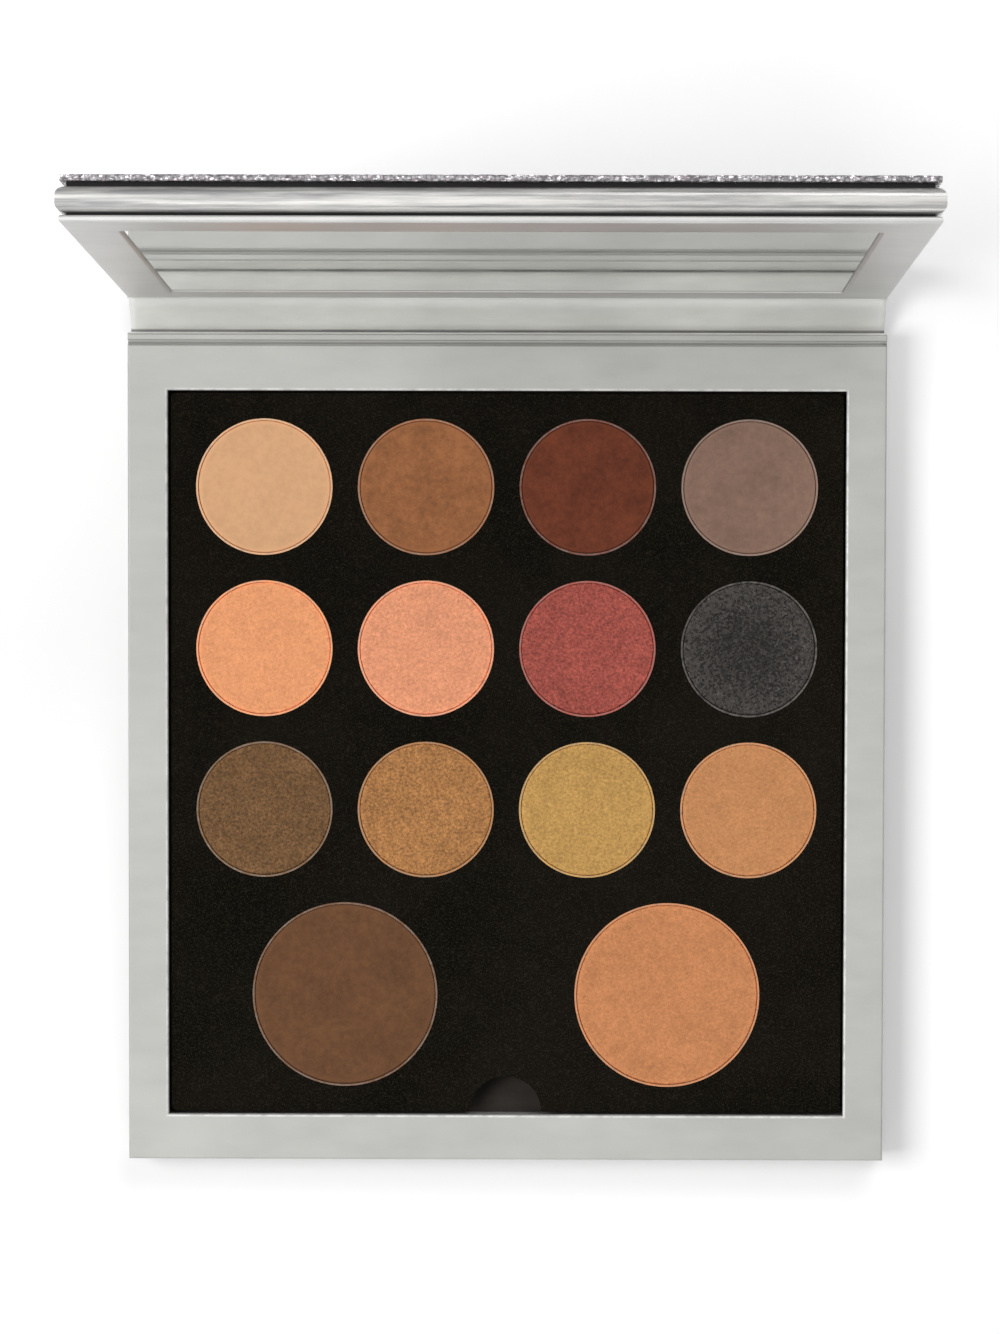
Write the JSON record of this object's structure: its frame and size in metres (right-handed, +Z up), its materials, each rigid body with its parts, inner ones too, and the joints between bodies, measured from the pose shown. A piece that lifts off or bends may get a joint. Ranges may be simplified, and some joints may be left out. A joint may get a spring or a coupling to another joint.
{
  "type": "eyeshadow palette",
  "caption": "Book-style makeup palette: boxed base with round pans of pressed powder in a black insert, folding spine and mirrored lid, shown open.",
  "frame": {"origin": "centre of the base's underside, where it rests on a table", "axes": "+X to the user's right along the hinge, +Y back towards the hinge, +Z up through the pans"},
  "size_m": [0.1456, 0.1856, 0.1688],
  "materials": {
    "glitter_paper": "coarse silver glitter",
    "silver_paper": "satin silver foil paper",
    "silver_foil": "bright silver foil paper",
    "well_paper": "matte dark liner paper",
    "black_board": "matte black",
    "dark_board": "matte dark card",
    "grey_board": "grey board",
    "mirror": "polished",
    "adhesive": "double-sided tape",
    "magnet": "nickel plate",
    "pan_tin": "bright pressed metal",
    "powder_row1_1": "pressed powder, matte",
    "powder_row1_2": "pressed powder, matte",
    "powder_row1_3": "pressed powder, matte",
    "powder_row1_4": "pressed powder, matte",
    "powder_row2_1": "pressed powder, satin",
    "powder_row2_2": "pressed powder, shimmer",
    "powder_row2_3": "pressed powder, shimmer",
    "powder_row2_4": "pressed powder, sparkle",
    "powder_row3_1": "pressed powder, shimmer",
    "powder_row3_2": "pressed powder, shimmer",
    "powder_row3_3": "pressed powder, shimmer",
    "powder_row3_4": "pressed powder, satin",
    "powder_large_left": "pressed powder, matte",
    "powder_large_right": "pressed powder, satin"
  },
  "bodies": {
    "base": {"base_magnets": "magnet", "bottom_board": "glitter_paper", "front_wall": "silver_paper", "insert_backing": "black_board", "insert_board": "black_board", "left_wall": "silver_paper", "pan_large_left": "pan_tin", "pan_large_right": "pan_tin", "pan_row1_1": "pan_tin", "pan_row1_2": "pan_tin", "pan_row1_3": "pan_tin", "pan_row1_4": "pan_tin", "pan_row2_1": "pan_tin", "pan_row2_2": "pan_tin", "pan_row2_3": "pan_tin", "pan_row2_4": "pan_tin", "pan_row3_1": "pan_tin", "pan_row3_2": "pan_tin", "pan_row3_3": "pan_tin", "pan_row3_4": "pan_tin", "powder_large_left": "powder_large_left", "powder_large_right": "powder_large_right", "powder_row1_1": "powder_row1_1", "powder_row1_2": "powder_row1_2", "powder_row1_3": "powder_row1_3", "powder_row1_4": "powder_row1_4", "powder_row2_1": "powder_row2_1", "powder_row2_2": "powder_row2_2", "powder_row2_3": "powder_row2_3", "powder_row2_4": "powder_row2_4", "powder_row3_1": "powder_row3_1", "powder_row3_2": "powder_row3_2", "powder_row3_3": "powder_row3_3", "powder_row3_4": "powder_row3_4", "rear_wall": "silver_paper", "right_wall": "silver_paper", "top_frame": "silver_paper", "well_floor": "well_paper"},
    "spine": {"spine_board": "grey_board", "spine_lining": "silver_paper", "spine_cover": "glitter_paper"},
    "lid": {"mirror_frame": "silver_paper", "mirror_spacer": "dark_board", "mirror_glass": "mirror", "mirror_adhesive": "adhesive", "lid_board": "silver_foil", "lid_magnets": "magnet", "cover_spacer": "dark_board", "cover_board": "glitter_paper"}
  },
  "joints": [
    {"name": "spine_fold", "type": "hinge", "parent": "base", "child": "spine", "pos_m": [0, 0.07945, 0.002], "axis": [-1, 0, 0], "range_deg": [-43, 23.7]},
    {"name": "lid_fold", "type": "hinge", "parent": "spine", "child": "lid", "pos_m": [0, 0.08729, 0.01041], "axis": [-1, 0, 0], "range_deg": [-51.75, 61.55]}
  ]
}
